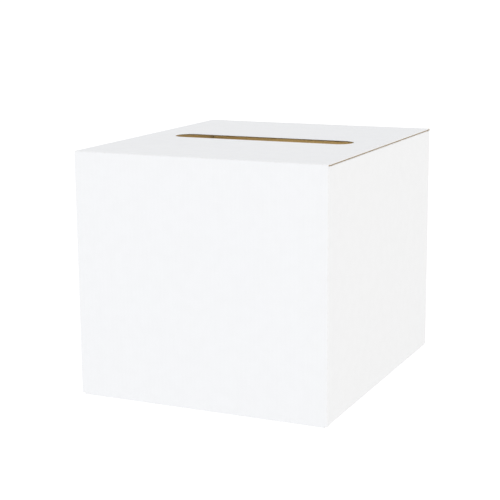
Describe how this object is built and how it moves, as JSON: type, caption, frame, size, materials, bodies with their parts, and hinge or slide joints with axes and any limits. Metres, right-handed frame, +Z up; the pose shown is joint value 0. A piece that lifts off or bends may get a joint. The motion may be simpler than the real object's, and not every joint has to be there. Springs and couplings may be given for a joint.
{
  "type": "ballot box",
  "caption": "Folded corrugated-board ballot box with a hinged tuck-in lid, a long round-ended slot in the lid, dust flaps and an interlocked bottom.",
  "frame": {"origin": "middle of the box's footprint, at the height of the surface that it stands on", "axes": "+Z up; +Y from the front wall, where the lid hinges, to the back wall; +X to the right seen from the front"},
  "size_m": [0.2, 0.23, 0.186],
  "materials": {
    "white_liner": "smooth coated white, matt",
    "kraft_liner": "uncoated brown kraft",
    "fluted_middle": "fluted brown paper",
    "flute_paper": "uncoated brown paper",
    "seam_glue": "dried white glue"
  },
  "bodies": {
    "box": {"front_wall_outer_liner": "white_liner", "front_wall_fluting": "fluted_middle", "front_wall_inner_liner": "kraft_liner", "right_wall_outer_liner": "white_liner", "right_wall_fluting": "fluted_middle", "right_wall_inner_liner": "kraft_liner", "back_wall_outer_liner": "white_liner", "back_wall_fluting": "fluted_middle", "back_wall_inner_liner": "kraft_liner", "left_wall_outer_liner": "white_liner", "left_wall_fluting": "fluted_middle", "left_wall_inner_liner": "kraft_liner", "seam_flap_outer_liner": "white_liner", "seam_flap_fluting": "fluted_middle", "seam_flap_inner_liner": "kraft_liner", "lock_flap_outer_liner": "white_liner", "lock_flap_fluting": "fluted_middle", "lock_flap_inner_liner": "kraft_liner", "slot_flap_outer_liner": "white_liner", "slot_flap_fluting": "fluted_middle", "slot_flap_inner_liner": "kraft_liner", "left_bottom_flap_outer_liner": "white_liner", "left_bottom_flap_fluting": "fluted_middle", "left_bottom_flap_inner_liner": "kraft_liner", "right_bottom_flap_outer_liner": "white_liner", "right_bottom_flap_fluting": "fluted_middle", "right_bottom_flap_inner_liner": "kraft_liner", "seam_glue": "seam_glue"},
    "lid": {"lid_outer_liner": "white_liner", "lid_fluting": "flute_paper", "lid_inner_liner": "kraft_liner"},
    "tuck_flap": {"tuck_flap_outer_liner": "white_liner", "tuck_flap_fluting": "fluted_middle", "tuck_flap_inner_liner": "kraft_liner"},
    "left_dust_flap": {"left_dust_flap_outer_liner": "white_liner", "left_dust_flap_fluting": "fluted_middle", "left_dust_flap_inner_liner": "kraft_liner"},
    "right_dust_flap": {"right_dust_flap_outer_liner": "white_liner", "right_dust_flap_fluting": "fluted_middle", "right_dust_flap_inner_liner": "kraft_liner"}
  },
  "joints": [
    {"name": "lid_hinge", "type": "hinge", "parent": "box", "child": "lid", "pos_m": [0, -0.11455, 0.18555], "axis": [1, 0, 0], "range_deg": [0, 180]},
    {"name": "tuck_crease", "type": "hinge", "parent": "lid", "child": "tuck_flap", "pos_m": [0, 0.11305, 0.18555], "axis": [1, 0, 0], "range_deg": [0, 90]},
    {"name": "right_dust_crease", "type": "hinge", "parent": "box", "child": "right_dust_flap", "pos_m": [0.09955, 0, 0.18405], "axis": [0, 1, 0], "range_deg": [0, 90]},
    {"name": "left_dust_crease", "type": "hinge", "parent": "box", "child": "left_dust_flap", "pos_m": [-0.09955, 0, 0.18405], "axis": [0, -1, 0], "range_deg": [0, 90]}
  ],
  "couplings": [
    {"joint": "tuck_crease", "follows": "lid_hinge", "ratio": 0.5},
    {"joint": "right_dust_crease", "follows": "lid_hinge", "ratio": 0.5},
    {"joint": "left_dust_crease", "follows": "lid_hinge", "ratio": 0.5}
  ]
}
